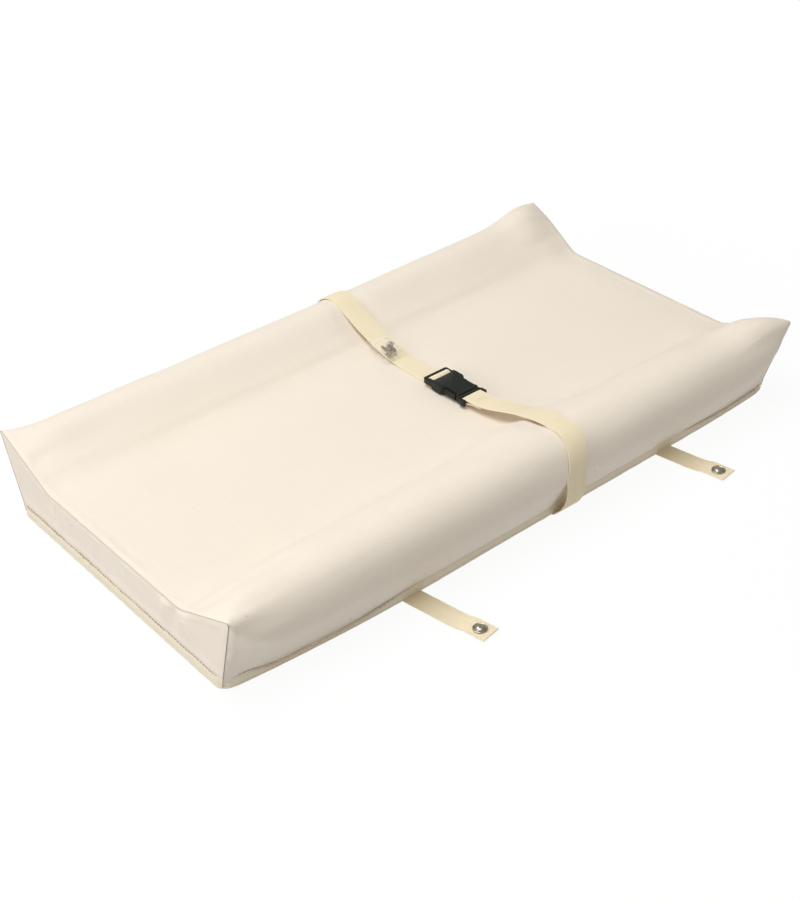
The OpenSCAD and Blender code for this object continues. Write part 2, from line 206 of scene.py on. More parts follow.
def half_section(x, side):
    """[y, z] from the middle of the trough over the bolster down to the hem, as unsigned y."""
    t = 1 - (1 - min((half_length - abs(x)) / bolster_taper, 1)) ** 2.3
    centre, radius = peak.lerp(hump, t), mix(peak_r, hump_r, t)
    foot, seam = Vector((foot_y, trough_height)), Vector((base_y(x, side), seam_height))
    a0, a1 = touch(foot, centre, radius, -1) % math.tau, touch(seam, centre, radius, 1)
    slope = (centre + radius * Vector((math.cos(a0), math.sin(a0))) - foot).normalized()
    soft = mix(0.007, 0.034, t)
    start, end = foot - Vector((soft, 0)), foot + soft * slope
    fillet = [(1 - s) ** 2 * start + 2 * s * (1 - s) * foot + s * s * end for s in np.linspace(0, 1, 9)]
    arc = [centre + radius * Vector((math.cos(a), math.sin(a))) for a in np.linspace(a0, a1, 33)]
    trough = resample([(0, trough_height), *fillet[:5]], trough_shares)
    inner = resample([*fillet[4:], *arc[:17]], slope_shares)
    outer = resample([*arc[16:], seam, (seam.x - 0.0012, hem_height)], side_shares)
    return np.concatenate([trough, inner, outer])


def full_section(x):
    near, far = half_section(x, -1), half_section(x, 1)
    near[:, 0] *= -1
    return np.concatenate([near[:0:-1], far])


middle = half_length - fine_steps[-1]
spans = 88
wide_steps = [-middle + 2 * middle * k / spans for k in range(1, spans)]
stations = [f - half_length for f in fine_steps] + wide_steps
stations += [half_length - f for f in reversed(fine_steps)]
sections = np.array([full_section(x) for x in stations])
across = sections.shape[1] - 1
peaks = len(side_shares) - 1
TOP, LEFT, RIGHT, BOTTOM = range(4)


def patch(bm, columns, rows, place, stretch, tag):
    """A grid of quads; place(i, j) gives each corner's point and stretch(i, j) its cloth coordinates."""
    made = bmesh.ops.create_grid(bm, x_segments=columns, y_segments=rows, size=0.5)["verts"]
    where = {}
    for vert in made:
        i, j = round((vert.co.x + 0.5) * columns), round((vert.co.y + 0.5) * rows)
        where[vert] = (i, j)
        vert.co = place(i, j)
    sheet_uv = bm.loops.layers.uv.verify()
    for face in {f for v in made for f in v.link_faces}:
        face.material_index = tag
        for loop in face.loops:
            loop[sheet_uv].uv = stretch(*where[loop.vert])


def run_lengths(points):
    return np.concatenate([[0], np.cumsum(np.linalg.norm(np.diff(points, axis=0), axis=1))])


bm = bmesh.new()
middle_runs = run_lengths(sections[len(stations) // 2])
patch(bm, len(stations) - 1, across, lambda i, j: (stations[i], *sections[i][j]),
      lambda i, j: (stations[i], middle_runs[j]), TOP)

end_columns = across - 2 * peaks
end_seam = sections[0][peaks:-peaks]
end_corner = sections[0][:peaks + 1][::-1]
corner_share = run_lengths(end_corner) / run_lengths(end_corner)[-1]
peak_width, hem_width = -end_seam[0][0], -end_corner[-1][0]


def end_point(j, k):
    """Point of an end panel: column j along its top seam, row k down its corner seams."""
    y, z = end_seam[j]
    a, b = (y + peak_width) / (2 * peak_width), corner_share[k]
    corner_y, corner_z = end_corner[k]
    hem = (y * hem_width / peak_width, hem_height)
    sides = (mix(corner_y, -corner_y, a), corner_z)
    tops = (mix(-peak_width, peak_width, a), end_seam[0][1])
    hems = (mix(-hem_width, hem_width, a), hem_height)
    return [mix(p, q, b) + s - mix(t, h, b) for p, q, s, t, h in zip((y, z), hem, sides, tops, hems)]


for side, tag in ((-1, LEFT), (1, RIGHT)):
    patch(bm, end_columns, peaks, lambda j, k: (side * half_length, *end_point(j, k)),
          lambda j, k: end_point(j, k), tag)


def bottom_point(i, j):
    y = end_seam[j][0] / peak_width
    edge = i in (0, len(stations) - 1) or j in (0, end_columns)
    y *= -sections[i][0][0] if y < 0 else sections[i][-1][0]
    return stations[i], y, hem_height if edge else base_lift


patch(bm, len(stations) - 1, end_columns, bottom_point, lambda i, j: bottom_point(i, j)[:2], BOTTOM)
bmesh.ops.remove_doubles(bm, verts=bm.verts[:], dist=2e-5)
bmesh.ops.recalc_face_normals(bm, faces=bm.faces[:])
crease = bm.edges.layers.float.new("crease_edge")
for edge in bm.edges:
    edge[crease] = 0.9 if len({face.material_index for face in edge.link_faces}) > 1 else 0
bm.verts.index_update()
pinned = {v.index for e in bm.edges if e[crease] > 0 for v in e.verts}
pinned |= {v.index for f in bm.faces if f.material_index == BOTTOM for v in f.verts}


def maths(nodes, links, operation, *values):
    """One Math node; each value is a number or another node's output."""
    node = nodes.new("ShaderNodeMath")
    node.operation = operation
    for socket, value in zip(node.inputs, values):
        if isinstance(value, (int, float)):
            socket.default_value = value
        else:
            links.new(value, socket)
    return node.outputs[0]


def speckle(nodes, links, where, scale, detail=2, stretch=(1, 1, 1)):
    """Noise between 0 and 1 on the given coordinates."""
    place = nodes.new("ShaderNodeMapping")
    place.inputs["Scale"].default_value = stretch
    links.new(where, place.inputs["Vector"])
    node = nodes.new("ShaderNodeTexNoise")
    node.inputs["Scale"].default_value = scale
    node.inputs["Detail"].default_value = detail
    links.new(place.outputs[0], node.inputs["Vector"])
    return node.outputs["Fac"]


def tint(nodes, links, factor, first, second, low=0.3, high=0.7):
    """Colour that goes from first to second as factor goes from low to high."""
    ramp = nodes.new("ShaderNodeValToRGB")
    ramp.color_ramp.elements[0].position, ramp.color_ramp.elements[1].position = low, high
    ramp.color_ramp.elements[0].color, ramp.color_ramp.elements[1].color = (*first, 1), (*second, 1)
    links.new(factor, ramp.inputs[0])
    return ramp.outputs[0]


def blend_colors(nodes, links, kind, amount, first, second):
    node = nodes.new("ShaderNodeMix")
    node.data_type, node.blend_type = "RGBA", kind
    for socket, value in ((node.inputs[0], amount), (node.inputs[6], first), (node.inputs[7], second)):
        if isinstance(value, (int, float)):
            socket.default_value = value
        elif isinstance(value, tuple):
            socket.default_value = (*value, 1)
        else:
            links.new(value, socket)
    return node.outputs[2]


def relief(nodes, links, shader, height, depth, before=None):
    """Bump of the given depth in metres; before is an earlier bump that it adds to."""
    node = nodes.new("ShaderNodeBump")
    node.inputs["Distance"].default_value = depth
    links.new(height, node.inputs["Height"])
    if before:
        links.new(before, node.inputs["Normal"])
    links.new(node.outputs[0], shader.inputs["Normal"])
    return node.outputs[0]


def woven(name, color, deep, warp, weft, depth, flecks=0.0, sheen=0.15):
    """Plain-woven cloth on the piece's own UV in metres: warp and weft are the threads' spacing."""
    mat, nodes, links, shader = surface(name, 0.88, color)
    cloth_uv = nodes.new("ShaderNodeUVMap").outputs[0]
    split = nodes.new("ShaderNodeSeparateXYZ")
    drift = nodes.new("ShaderNodeVectorMath")
    drift.operation = "MULTIPLY_ADD"
    wander = nodes.new("ShaderNodeTexNoise")
    wander.inputs["Scale"].default_value = 60
    links.new(cloth_uv, wander.inputs["Vector"])
    links.new(wander.outputs["Color"], drift.inputs[0])
    drift.inputs[1].default_value = (0.0009, 0.0009, 0)
    links.new(cloth_uv, drift.inputs[2])
    links.new(drift.outputs[0], split.inputs[0])
    waves = [maths(nodes, links, "MULTIPLY", split.outputs[0], math.pi / warp),
             maths(nodes, links, "MULTIPLY", split.outputs[1], math.pi / weft)]
    over = maths(nodes, links, "MULTIPLY", *[maths(nodes, links, "SINE", wave) for wave in waves])
    warp_slubs = speckle(nodes, links, cloth_uv, 1, 1, (0.9 / warp, 14, 1))
    weft_slubs = speckle(nodes, links, cloth_uv, 1, 1, (14, 0.9 / weft, 1))
    slubs = maths(nodes, links, "ADD", warp_slubs, weft_slubs)
    height = maths(nodes, links, "MULTIPLY_ADD", slubs, 0.8, maths(nodes, links, "MULTIPLY", over, 0.5))
    relief(nodes, links, shader, height, depth)
    shade = tint(nodes, links, slubs, deep, color, 0.45, 1.0)
    blotch = speckle(nodes, links, cloth_uv, 9, 3)
    warm = tuple(c * k for c, k in zip(color, (1.0, 0.975, 0.93)))
    shade = blend_colors(nodes, links, "MIX", maths(nodes, links, "MULTIPLY", blotch, 0.5), shade, warm)
    if flecks:
        seeds = nodes.new("ShaderNodeTexVoronoi")
        seeds.inputs["Scale"].default_value = 24
        links.new(cloth_uv, seeds.inputs["Vector"])
        spot = maths(nodes, links, "LESS_THAN", seeds.outputs["Distance"], flecks)
        rare = nodes.new("ShaderNodeSeparateColor")
        links.new(seeds.outputs["Color"], rare.inputs[0])
        chosen = maths(nodes, links, "GREATER_THAN", rare.outputs[0], 0.86)
        spot = maths(nodes, links, "MULTIPLY", maths(nodes, links, "MULTIPLY", spot, chosen), 0.55)
        shade = blend_colors(nodes, links, "MIX", spot, shade, (0.30, 0.20, 0.11))
    links.new(shade, shader.inputs["Base Color"])
    shader.inputs["Sheen Weight"].default_value = sheen
    shader.inputs["Sheen Roughness"].default_value = 0.5
    shader.inputs["Specular IOR Level"].default_value = 0.2
    return mat


cover_cotton = woven("cover_cotton", (0.90, 0.812, 0.715), (0.82, 0.728, 0.61), 0.00055, 0.0006, 0.00012,
                     flecks=0.032)
cover = finished("cover", bm, [cover_cotton] * 4)


def inflate(piece, fixed, pressure, frames=20):
    """Blows the cover up a little like cloth over its filling; fixed points, the seams, stay."""
    pins = piece.vertex_groups.new(name="pins")
    pins.add(list(fixed), 1, "REPLACE")
    cloth = piece.modifiers.new("cloth", "CLOTH")
    cloth.settings.quality = 5
    cloth.settings.mass = 0.25
    cloth.settings.tension_stiffness = cloth.settings.compression_stiffness = 60
    cloth.settings.bending_stiffness = 1.5
    cloth.settings.vertex_group_mass = "pins"
    cloth.settings.use_pressure = True
    cloth.settings.uniform_pressure_force = pressure
    cloth.settings.effector_weights.gravity = 0
    cloth.point_cache.frame_end = frames
    for frame_number in range(1, frames + 1):
        bpy.context.scene.frame_set(frame_number)
    view = bpy.context.evaluated_depsgraph_get()
    baked = piece.evaluated_get(view).to_mesh()
    moved = np.array([v.co for v in baked.vertices])
    piece.modifiers.remove(cloth)
    piece.vertex_groups.remove(pins)
    bpy.context.scene.frame_set(1)
    return moved


def positions(mesh):
    flat = np.empty(len(mesh.vertices) * 3)
    mesh.vertices.foreach_get("co", flat)
    return flat.reshape(-1, 3)


belt_x, belt_width = 0.057, 0.028
trough_swell, side_swell, liner_gap = 0.0009, 0.0034, 0.0042
rest = positions(cover.data)
moved = inflate(cover, pinned, 0.6)
pull = moved - rest
pull_size = np.linalg.norm(pull, axis=1) + 1e-9
in_trough = (np.abs(rest[:, 1]) < 0.135) & (rest[:, 2] > 0.05)
under_belt = np.exp(-((rest[:, 0] - belt_x) / 0.026) ** 4)
most = np.where(in_trough, trough_swell, side_swell) * (1 - 0.95 * under_belt)
pull *= (most * np.tanh(pull_size / most) / pull_size)[:, None]
cover.data.vertices.foreach_set("co", (rest + pull).ravel())

# The lining under it keeps the same shape a little further in.
cover_normals = np.empty(len(rest) * 3)
cover.data.vertices.foreach_get("normal", cover_normals)
liner = bpy.data.objects.new("waterproof_liner_film", cover.data.copy())
bpy.context.scene.collection.objects.link(liner)
liner.data.vertices.foreach_set("co", (rest + pull - liner_gap * cover_normals.reshape(-1, 3)).ravel())

# The fine shape that the sewing leaves: seams drawn in, puckers above the edge tape, soft folds
# towards the raised corners and a barely uneven trough.
smoother = cover.modifiers.new("smoother", "SUBSURF")
smoother.levels = smoother.render_levels = 1
smooth_mesh = bpy.data.meshes.new_from_object(cover.evaluated_get(bpy.context.evaluated_depsgraph_get()))
bpy.data.objects.remove(cover)
spots = positions(smooth_mesh)
facing = np.empty(len(spots) * 3)
smooth_mesh.vertices.foreach_get("normal", facing)
facing = facing.reshape(-1, 3)
low_tag, high_tag = np.full(len(spots), 9), np.full(len(spots), -1)
for face in smooth_mesh.polygons:
    for v in face.vertices:
        low_tag[v] = min(low_tag[v], face.material_index)
        high_tag[v] = max(high_tag[v], face.material_index)
seam_line = low_tag != high_tag


def ripple(scale, seed):
    """Smooth noise, about -1 to 1, over the cover's points stretched by scale."""
    shift = Vector((seed * 7.3, seed * 3.1, seed * 5.7))
    return np.array([noise.noise(Vector(p) + shift) for p in spots * np.array(scale)])


def share(values):
    """The values, held between 0 and 1."""
    return np.clip(values, 0, 1)


seam_points = np.flatnonzero(seam_line & (spots[:, 2] > seam_height + 0.002))
seam_tree = kdtree.KDTree(len(seam_points))
for k in seam_points:
    seam_tree.insert(spots[k], int(k))
seam_tree.balance()
from_seam = np.array([seam_tree.find(p)[2] for p in spots])
x, y, z = spots.T
from_end = half_length - np.abs(x)
tape_high = 0.0142
above_tape = share(z - tape_high)
upright = share(1 - np.abs(facing[:, 2]) * 1.6)
one_panel = low_tag * (low_tag == high_tag)
is_end = (one_panel == LEFT) | (one_panel == RIGHT)

# Near and far sides: gathers above the tape, the roll over it and slow waves higher up.
proud = 0.0013 * ripple((75, 75, 14), 1) * np.exp(-above_tape / 0.013) * upright
proud += 0.0012 * bell(z, 0.0195, 0.0055) * upright
proud += 0.0010 * ripple((16, 16, 24), 2) * upright * np.where(is_end, 0.5, 1)

# Top: drag folds towards the raised corners, a barely uneven trough and uneven bolsters.
ears = share(1 - from_end / 0.09) * (np.abs(y) > 0.14) * (z > 0.05) * ~is_end
proud += 0.0021 * ripple((9, 85, 85), 3) * ears
proud += 0.0008 * ripple((11, 11, 2), 4) * ((np.abs(y) < 0.12) & (z > 0.05)) * ~is_end
proud += 0.0009 * ripple((13, 30, 30), 5) * ((np.abs(y) > 0.13) & (z > 0.06)) * ~is_end

# Ends: a sharp tuck below each end of the trough, fuller cloth on both sides of the near left one.
left_end, right_end = is_end & (x < 0), is_end & (x > 0)
drop = share((z - 0.012) / 0.04)
slanted = y + 0.15 * (z - 0.06)
proud -= 0.0034 * left_end * bell(slanted, -0.119, 0.0048) * drop
proud += 0.0034 * left_end * bell(slanted, -0.104, 0.008) * drop
proud += 0.0030 * left_end * bell(y, -0.140, 0.014) * drop
proud -= 0.0030 * left_end * bell(y - 0.5 * (z - 0.06), 0.131, 0.006) * drop
proud -= 0.0016 * right_end * bell(np.abs(y), 0.127, 0.006) * drop
proud += 0.0008 * ripple((1, 26, 20), 7) * is_end

# The belt holds the cloth under it flat, and the seams draw theirs in.
proud *= 1 - 0.9 * np.exp(-((x - belt_x) / 0.024) ** 4)
proud *= share((from_seam - 0.0008) / 0.012)
proud += bell(from_seam, 0.0055, 0.0035) * (0.0005 + 0.0007 * ripple((100, 100, 100), 6))
proud -= 0.0003 * bell(from_seam, 0, 0.0012)
proud *= low_tag != BOTTOM
proud *= share((z - 0.006) / 0.010)

# The right ears reach out and stand full; the near bolster's inner slope is full, most under the belt.
tip = share(1 - from_end / 0.05) * share((z - 0.012) / 0.085) * (np.abs(y) > 0.12) * (x > 0)
tip *= share((np.abs(y) - 0.13) / 0.06)
spots[:, 0] += 0.009 * tip
slack = 0.005 * share(from_end / 0.09 - 0.4) * bell(y, -0.152, 0.021)
slack += 0.009 * bell(x, belt_x - 0.015, 0.075) * bell(y, -0.140, 0.026)
spots[:, 2] += slack * (z > 0.055) * ~is_end
full = bell(from_end, 0.031, 0.036) * share((z - 0.06) / 0.03) * (x > 0)
spots[:, 2] += 0.0098 * full - 0.0042 * tip ** 3
spots += facing * proud[:, None]
smooth_mesh.vertices.foreach_set("co", spots.ravel())

# Seam thread: shows as a fine line where the panels' edges meet, darker down the four corners.
seam_paths = {"trough_seam_thread": [], "corner_seam_thread": []}
bm = bmesh.new()
bm.from_mesh(smooth_mesh)
for tag in (LEFT, RIGHT):
    seam = {e for e in bm.edges if {f.material_index for f in e.link_faces} == {TOP, tag}}
    at = next(v for e in seam for v in e.verts if v.co.y < 0 and sum(n in seam for n in v.link_edges) == 1)
    walk = [at]
    while True:
        onward = [e for e in at.link_edges if e in seam]
        if not onward:
            break
        seam.discard(onward[0])
        at = onward[0].other_vert(at)
        walk.append(at)
    first, last = [max((k for k in range(len(walk)) if walk[k].co.y * s > 0), key=lambda k: walk[k].co.z)
                   for s in (-1, 1)]
    for name, part in (("corner_seam_thread", walk[:first + 1]),
                       ("trough_seam_thread", walk[first:last + 1]),
                       ("corner_seam_thread", walk[last:])):
        seam_paths[name].append([(v.co.copy(), v.normal.copy()) for v in part])
bm.free()

# The four cut panels: which faces, the flat width and length, and the area where it isn't a rectangle.
panel_cuts = {"cover_top_panel": (TOP, 0.820, 0.760, None),
              "cover_end_left": (LEFT, 0.440, 0.110, 0.034),
              "cover_end_right": (RIGHT, 0.440, 0.110, 0.034),
              "cover_bottom_panel": (BOTTOM, 0.820, 0.440, None)}
for node, (tag, cut_width, cut_length, cut_area) in panel_cuts.items():
    bm = bmesh.new()
    bm.from_mesh(smooth_mesh)
    bmesh.ops.delete(bm, geom=[f for f in bm.faces if f.material_index != tag], context="FACES")
    for face in bm.faces:
        face.material_index = 0
    panel = finished(node + "_cloth", bm, cover_cotton)
    body = panel.modifiers.new("cloth_body", "SOLIDIFY")
    body.thickness = 0.0012
    body.offset = -1
    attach(panel, "pad")
    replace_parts(panel, node)

# ---------------------------------------------------------------------------------------------------
# Edge tape: a cotton strip folded in two over the base seam all the way round and topstitched through.
# Its free ends are turned under, so it reads as a soft double fold that rounds the four corners.
tape_out, tape_low = 0.0033, 0.0003
corner_round = 0.011


def tape_path(step):
    """Points round the base with their outward directions; the corners are rounded."""
    reach = half_length - corner_round
    points = []
    for sx, sy in ((1, -1), (1, 1), (-1, 1), (-1, -1)):
        cy = sy * (base_y(sx * half_length, sy) - corner_round)
        start = math.atan2(sy, sx) - math.pi / 4
        for k in range(13):
            a = start + math.pi / 2 * k / 12
            points.append((sx * reach + corner_round * math.cos(a), cy + corner_round * math.sin(a)))
        if sx == sy:
            count = round(2 * reach / step)
            xs = [mix(sx * reach, -sx * reach, k / count) for k in range(1, count)]
            points += [(x, sy * base_y(x, sy)) for x in xs]
        else:
            count = round(2 * abs(cy) / step)
            points += [(sx * half_length, mix(cy, -cy, k / count)) for k in range(1, count)]
    return points


def resampled_ring(points, step):
    closed = np.array([*points, points[0]])
    runs = run_lengths(closed)
    count = round(runs[-1] / step)
    at = np.arange(count) * runs[-1] / count
    ring = np.stack([np.interp(at, runs, closed[:, k]) for k in (0, 1)], axis=1)
    ahead = np.roll(ring, -1, axis=0) - np.roll(ring, 1, axis=0)
    ahead /= np.linalg.norm(ahead, axis=1)[:, None]
    return ring, np.stack([ahead[:, 1], -ahead[:, 0]], axis=1), runs[-1] / count


ring, outward, tape_step = resampled_ring(tape_path(0.004), 0.0032)
# The folded tape's section as shares of its reach and height: up outside, over the fold, down inside.
tape_section = [(0.4, 0.0), (0.80, 0.0), (0.98, 0.05), (1.04, 0.15), (1.0, 0.23), (0.84, 0.27),
                (0.88, 0.32), (0.90, 0.50), (0.80, 0.70), (0.62, 0.86), (0.38, 0.96), (0.15, 1.0),
                (0.0, 0.97), (-0.02, 0.84), (-0.02, 0.5), (-0.02, 0.08)]
bm = bmesh.new()
rows = len(tape_section)


def scallop(px, py):
    """How the tape's sewn edge rises and dips between the gathers, about -1 to 1."""
    short, long = noise.noise(Vector((px * 115, py * 115, 17))), noise.noise(Vector((px * 35, py * 35, 3)))
    return (1.2 * short + 0.5 * long) * (1.5 if abs(px) > half_length - 0.002 else 0.8)


def tape_top(px, py):
    """The tape's height; on the near side the cover hangs lower over it, most of all near the left."""
    hang = 0.74 * (ease((px + 0.385) / 0.05) - ease((px + 0.27) / 0.14)) + 0.6 * ease((px - 0.20) / 0.12)
    return tape_high * (1 - hang * ease((half_length - abs(px)) / 0.016) * ease((-py - 0.185) / 0.012))


def tape_point(i, j):
    i, j = i % len(ring), j % rows
    out, height = tape_section[j]
    s = i * tape_step
    px, py = ring[i]
    pucker = noise.noise(Vector((px * 85, py * 85, 4))) + 0.6 * noise.noise(Vector((px * 230, py * 230, 9)))
    lift = scallop(px, py)
    reach = tape_out * out
    if out > 0.3:
        reach += 0.0007 * pucker * min(height * 2.2, 1) + 0.0004 * lift
    top = mix(tape_low, tape_top(px, py) + 0.0013 * lift + 0.0003 * pucker, height)
    ux, uy = outward[i]
    return px + ux * reach, py + uy * reach, max(top, 0.0002)


patch(bm, len(ring), rows, tape_point, lambda i, j: (i * tape_step, j * 0.0016), 0)
bmesh.ops.remove_doubles(bm, verts=bm.verts[:], dist=1e-6)
bmesh.ops.recalc_face_normals(bm, faces=bm.faces[:])
tape_cotton = woven("binding_cotton", (0.87, 0.78, 0.63), (0.79, 0.69, 0.53), 0.0006, 0.0006, 0.00014)
tape = finished("base_binding_tape", bm, tape_cotton)
smoother = tape.modifiers.new("smoother", "SUBSURF")
smoother.levels = smoother.render_levels = 1
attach(tape, "pad")
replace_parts(tape, "base_binding")

# ---------------------------------------------------------------------------------------------------
# Sewing: every stitch is a short plump length of thread lying on the webbing.
thread_mat, nodes, links, shader = surface("sewing_thread", 0.7, (0.86, 0.76, 0.56))
where = nodes.new("ShaderNodeTexCoord").outputs["Object"]
ply = speckle(nodes, links, where, 900, 1, (1, 3, 1))
relief(nodes, links, shader, ply, 0.0001)
links.new(tint(nodes, links, ply, (0.74, 0.64, 0.44), (0.90, 0.81, 0.62)), shader.inputs["Base Color"])


def stitch(bm, start, end, thick=0.0002, flat=0.7):
    """One stitch from start to end; flat squeezes it against the cloth under it, which faces up."""
    start, end = Vector(start), Vector(end)
    made = bmesh.ops.create_uvsphere(bm, u_segments=6, v_segments=4, radius=1)["verts"]
    run = end - start
    turn_to = run.to_track_quat("Z", "Y").to_matrix().to_4x4()
    shape = Matrix.Diagonal((thick, thick * flat, run.length / 2 + thick * 0.5, 1))
    bmesh.ops.transform(bm, matrix=Matrix.Translation((start + end) / 2) @ turn_to @ shape, verts=made)


# Brown topstitching that gathers the cover onto the tape, so it runs in little waves. Its dark brown also
# stands in as painted shade for the crease where the cover hangs over the tape.
gather_thread_painted_shade, _, _, _ = surface("gather_thread_painted_shade", 0.75, (0.36, 0.27, 0.16))
bm = bmesh.new()
stitch_every, stitch_length = 0.0052, 0.0042
wave = []
for i in range(len(ring)):
    px, py = ring[i]
    height = tape_top(px, py) - 0.0004 + 0.0013 * scallop(px, py)
    reach = tape_out * 0.30 + 0.0004
    wave.append(Vector((px + outward[i][0] * reach, py + outward[i][1] * reach, height)))
wave_runs = run_lengths([*wave, wave[0]])
wave = np.array([*wave, wave[0]])
for k in range(int(wave_runs[-1] / stitch_every)):
    ends_at = (k * stitch_every, k * stitch_every + stitch_length)
    ends_of = [[np.interp(at, wave_runs, wave[:, axis]) for axis in range(3)] for at in ends_at]
    # Thicker stitches towards the ends paint the crease's shade darker there.
    strong = mix(0.00014, 0.00038, ease((abs(ends_of[0][0]) - half_length + 0.045) / 0.03))
    stitch(bm, *ends_of, strong * (1 + 0.6 * noise.noise(Vector(ends_of[0]) * 30)), 1)
gathers = finished("edge_topstitching_shade_line", bm, gather_thread_painted_shade)
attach(gathers, "pad")

# ---------------------------------------------------------------------------------------------------
# Lining: one closed bag of thin white waterproof film between the foam and the cotton.
liner_mat, nodes, links, shader = surface("liner_film", 0.35, (0.86, 0.88, 0.90))
where = nodes.new("ShaderNodeTexCoord").outputs["Object"]
creases = speckle(nodes, links, where, 30, 4)
relief(nodes, links, shader, creases, 0.0008)
links.new(tint(nodes, links, creases, (0.80, 0.83, 0.86), (0.88, 0.90, 0.92)), shader.inputs["Base Color"])
shader.inputs["Coat Weight"].default_value = 0.3
liner.data.materials.clear()
liner.data.materials.append(liner_mat)
film = liner.modifiers.new("film", "SOLIDIFY")
film.thickness = 0.0003
film.offset = -1
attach(liner, "pad")
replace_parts(liner, "waterproof_liner")

# ---------------------------------------------------------------------------------------------------
# Foam: a flat slab with a shaped bolster block glued on along each long side, all cut from one
# open-celled foam with slightly rounded cut edges.
def refined(node, round_off, segments, mat):
    """A copy of a node's solid, merged, with its sharp edges rounded off."""
    bm = bmesh.new()
    bm.from_mesh(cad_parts[node].data)
    bmesh.ops.remove_doubles(bm, verts=bm.verts[:], dist=1e-6)
    bmesh.ops.dissolve_limit(bm, angle_limit=math.radians(1), verts=bm.verts[:], edges=bm.edges[:])
    hard = [e for e in bm.edges if len(e.link_faces) == 2 and e.calc_face_angle() > math.radians(35)]
    bmesh.ops.bevel(bm, geom=hard, offset=round_off, offset_type="OFFSET", affect="EDGES",
                    segments=segments, profile=0.5, material=-1, clamp_overlap=True)
    piece = finished(node + "_piece", bm, mat, sharp=40)
    weighted = piece.modifiers.new("weighted", "WEIGHTED_NORMAL")
    weighted.keep_sharp = True
    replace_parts(piece, node)
    return piece


foam_mat, nodes, links, shader = surface("open_cell_foam", 0.95, (0.88, 0.85, 0.74))
where = nodes.new("ShaderNodeTexCoord").outputs["Object"]
cells = nodes.new("ShaderNodeTexVoronoi")
cells.inputs["Scale"].default_value = 700
links.new(where, cells.inputs["Vector"])
relief(nodes, links, shader, cells.outputs["Distance"], 0.0006)
links.new(tint(nodes, links, speckle(nodes, links, where, 40, 3), (0.84, 0.80, 0.66), (0.90, 0.87, 0.77)),
          shader.inputs["Base Color"])
for node in ("foam_slab", "foam_wedge_near", "foam_wedge_far"):
    block = refined(node, 0.002, 2, foam_mat)
    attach(block, "pad")

# ---------------------------------------------------------------------------------------------------
# Safety belt: two lengths of ribbed cotton webbing with firm selvedges. Each is tacked under the base,
# comes up round its bolster and runs down into the trough to the buckle.
def spline(points, steps):
    """A smooth line through the points, given in millimetres, returned in metres."""
    points = np.array(points, float) / 1000
    last = len(points) - 1
    line = []
    for i in range(last):
        a, b, c, d = points[max(i - 1, 0)], points[i], points[i + 1], points[min(i + 2, last)]
        for t in np.arange(steps) / steps:
            line.append(0.5 * (2 * b + (c - a) * t + (2 * a - 5 * b + 4 * c - d) * t * t
                               + (3 * b - a - 3 * c + d) * t ** 3))
    return np.array([*line, points[-1]])


def circle_points(centre, radius, start, end, step):
    count = round(abs(end - start) / step)
    angles = [math.radians(mix(start, end, k / count)) for k in range(count + 1)]
    return [(centre[0] + radius * math.cos(a), centre[1] + radius * math.sin(a)) for a in angles]


def webbing_section(width, thick):
    """[sideways, up] round a strip of webbing with a firm, slightly thicker selvedge at each edge."""
    w, h = width / 2, thick / 2
    half = [(w, 0.4 * h), (w - 0.0003, 0.85 * h), (w - 0.0009, h), (w - 0.0015, 0.8 * h),
            (w - 0.0020, 0.6 * h), (w - 0.0028, 0.8 * h), (w * 0.5, 0.82 * h)]
    over = half + [(0, 0.82 * h)] + [(-a, b) for a, b in reversed(half)]
    return over + [(a, -b) for a, b in reversed(over)]


def sweep(bm, spine, sideways, upward, outline, swell=0.0, ring=False):
    """Carries an outline along a spine; between its selvedges the webbing stands proud by swell."""
    count, rows = len(spine), len(outline)
    widest = max(a for a, b in outline)
    around = run_lengths([*outline, outline[0]])
    along = run_lengths([*spine, spine[0]])

    def place(i, j):
        a, b = outline[j % rows]
        i %= count
        b += math.copysign(swell * (abs(a) < widest - 0.0022), b)
        return Vector(spine[i]) + Vector(sideways[i]) * a + Vector(upward[i]) * b

    patch(bm, count if ring else count - 1, rows, place, lambda i, j: (around[j], along[i]), 0)
    bmesh.ops.remove_doubles(bm, verts=bm.verts[:], dist=1e-7)
    if not ring:
        bmesh.ops.holes_fill(bm, edges=[e for e in bm.edges if e.is_boundary], sides=0)
    bmesh.ops.recalc_face_normals(bm, faces=bm.faces[:])


rib_pitch, webbing_swell, webbing_thick = 0.0014, 0.00007, 0.0014
floor_lie = webbing_thick / 2
webbing = woven("webbing_cotton", (0.90, 0.79, 0.58), (0.80, 0.68, 0.46), 0.0009, rib_pitch / 2, 0.00018,
                sheen=0.1)


